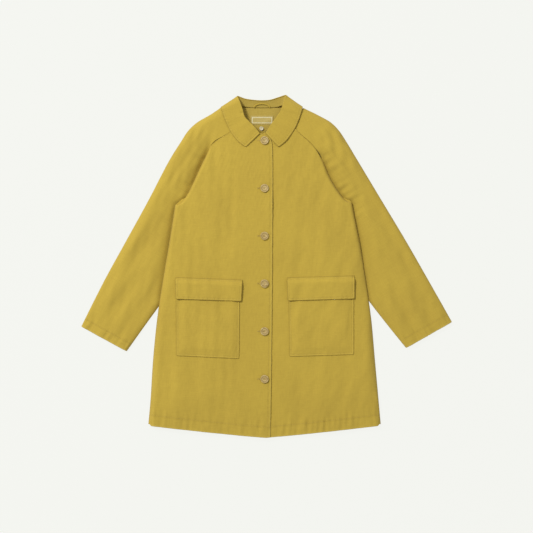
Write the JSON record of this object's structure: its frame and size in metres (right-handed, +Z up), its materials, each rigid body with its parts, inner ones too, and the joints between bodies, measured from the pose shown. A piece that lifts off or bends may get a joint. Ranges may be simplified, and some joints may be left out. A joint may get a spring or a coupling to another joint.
{
  "type": "coat",
  "caption": "Knee-length raglan-sleeve canvas coat with a small turned-down collar, buttoned front and flapped patch pockets, lying flat.",
  "frame": {"origin": "middle of the lying coat's outline, on the surface under its back", "axes": "+Z up out of the buttoned front, +Y towards the collar, +X towards the wearer's left sleeve"},
  "size_m": [1.022, 0.945, 0.0342],
  "materials": {
    "canvas": "washed woven cotton canvas, matt",
    "canvas_inside": "inside of the canvas, matt",
    "label_cloth": "woven tape, blank",
    "button_horn": "horn-coloured moulded polyester, satin",
    "spare_button_shell": "pale moulded polyester, satin",
    "button_thread": "twisted sewing thread"
  },
  "bodies": {
    "shell": {"back_panel": "canvas", "back_neck_facing": "canvas_inside", "neck_label": "label_cloth", "spare_button_thread": "button_thread", "spare_button": "spare_button_shell", "right_front_panel": "canvas", "right_front_side": "canvas", "left_front_side": "canvas", "left_front_panel": "canvas", "left_front_facing": "canvas_inside", "right_sleeve_front": "canvas", "right_sleeve_over": "canvas", "left_sleeve_over": "canvas", "right_sleeve_back": "canvas", "left_sleeve_front": "canvas", "left_sleeve_back": "canvas", "right_pocket": "canvas", "left_pocket": "canvas", "right_collar_top": "canvas", "left_collar_top": "canvas", "collar_stand": "canvas_inside", "collar_back_fall": "canvas", "button_1_thread": "button_thread", "button_2_thread": "button_thread", "button_3_thread": "button_thread", "button_4_thread": "button_thread", "button_5_thread": "button_thread", "button_6_thread": "button_thread"},
    "right_forearm": {"right_cuff_front": "canvas", "right_cuff_back": "canvas"},
    "left_forearm": {"left_cuff_front": "canvas", "left_cuff_back": "canvas"},
    "right_flap": {"right_pocket_flap": "canvas"},
    "left_flap": {"left_pocket_flap": "canvas"},
    "right_leaf": {"right_collar_leaf": "canvas"},
    "left_leaf": {"left_collar_leaf": "canvas"},
    "loop": {"hanger_loop": "canvas"},
    "front_edge": {"right_front_edge": "canvas", "right_front_facing": "canvas_inside"},
    "button_1_body": {"button_1": "button_horn"},
    "button_2_body": {"button_2": "button_horn"},
    "button_3_body": {"button_3": "button_horn"},
    "button_4_body": {"button_4": "button_horn"},
    "button_5_body": {"button_5": "button_horn"},
    "button_6_body": {"button_6": "button_horn"}
  },
  "joints": [
    {"name": "right_flap_lift", "type": "hinge", "parent": "shell", "child": "right_flap", "pos_m": [-0.15777, -0.0345, 0.0277], "axis": [-0.9993, 0.0384, 0], "range_deg": [0, 160]},
    {"name": "left_flap_lift", "type": "hinge", "parent": "shell", "child": "left_flap", "pos_m": [0.14984, -0.0295, 0.0247], "axis": [-0.9997, -0.0262, 0], "range_deg": [0, 160]},
    {"name": "right_collar_lift", "type": "hinge", "parent": "shell", "child": "right_leaf", "pos_m": [-0.064, 0.4175, 0.0287], "axis": [-0.6508, 0.7593, 0], "range_deg": [0, 80]},
    {"name": "left_collar_lift", "type": "hinge", "parent": "shell", "child": "left_leaf", "pos_m": [0.044, 0.4175, 0.0287], "axis": [-0.6508, -0.7593, 0], "range_deg": [0, 80]},
    {"name": "hanger_loop_swing", "type": "hinge", "parent": "shell", "child": "loop", "pos_m": [-0.011, 0.4385, 0.0065], "axis": [1, 0, 0], "range_deg": [0, 150]},
    {"name": "right_forearm_fold", "type": "hinge", "parent": "shell", "child": "right_forearm", "pos_m": [-0.45439, -0.05721, 0.02], "axis": [-0.878, 0.4787, 0], "range_deg": [0, 150]},
    {"name": "left_forearm_fold", "type": "hinge", "parent": "shell", "child": "left_forearm", "pos_m": [0.45255, -0.05378, 0.02], "axis": [-0.8695, -0.4939, 0], "range_deg": [0, 150]},
    {"name": "front_edge_open", "type": "hinge", "parent": "shell", "child": "front_edge", "pos_m": [-0.023, 0.3635, 0.026], "axis": [-0.043, -0.9991, 0], "range_deg": [0, 110], "deforming": ["right_front_edge", "right_front_facing"]},
    {"name": "button_1_turn", "type": "hinge", "parent": "shell", "child": "button_1_body", "pos_m": [-0.004, 0.3455, 0.0272], "axis": [0, 0, 1], "range_deg": [-40, 40]},
    {"name": "button_2_turn", "type": "hinge", "parent": "shell", "child": "button_2_body", "pos_m": [-0.004, 0.2145, 0.0272], "axis": [0, 0, 1], "range_deg": [-40, 40]},
    {"name": "button_3_turn", "type": "hinge", "parent": "shell", "child": "button_3_body", "pos_m": [-0.004, 0.0835, 0.0272], "axis": [0, 0, 1], "range_deg": [-40, 40]},
    {"name": "button_4_turn", "type": "hinge", "parent": "shell", "child": "button_4_body", "pos_m": [-0.004, -0.0475, 0.0272], "axis": [0, 0, 1], "range_deg": [-40, 40]},
    {"name": "button_5_turn", "type": "hinge", "parent": "shell", "child": "button_5_body", "pos_m": [-0.004, -0.1785, 0.0272], "axis": [0, 0, 1], "range_deg": [-40, 40]},
    {"name": "button_6_turn", "type": "hinge", "parent": "shell", "child": "button_6_body", "pos_m": [-0.004, -0.3095, 0.0272], "axis": [0, 0, 1], "range_deg": [-40, 40]}
  ]
}
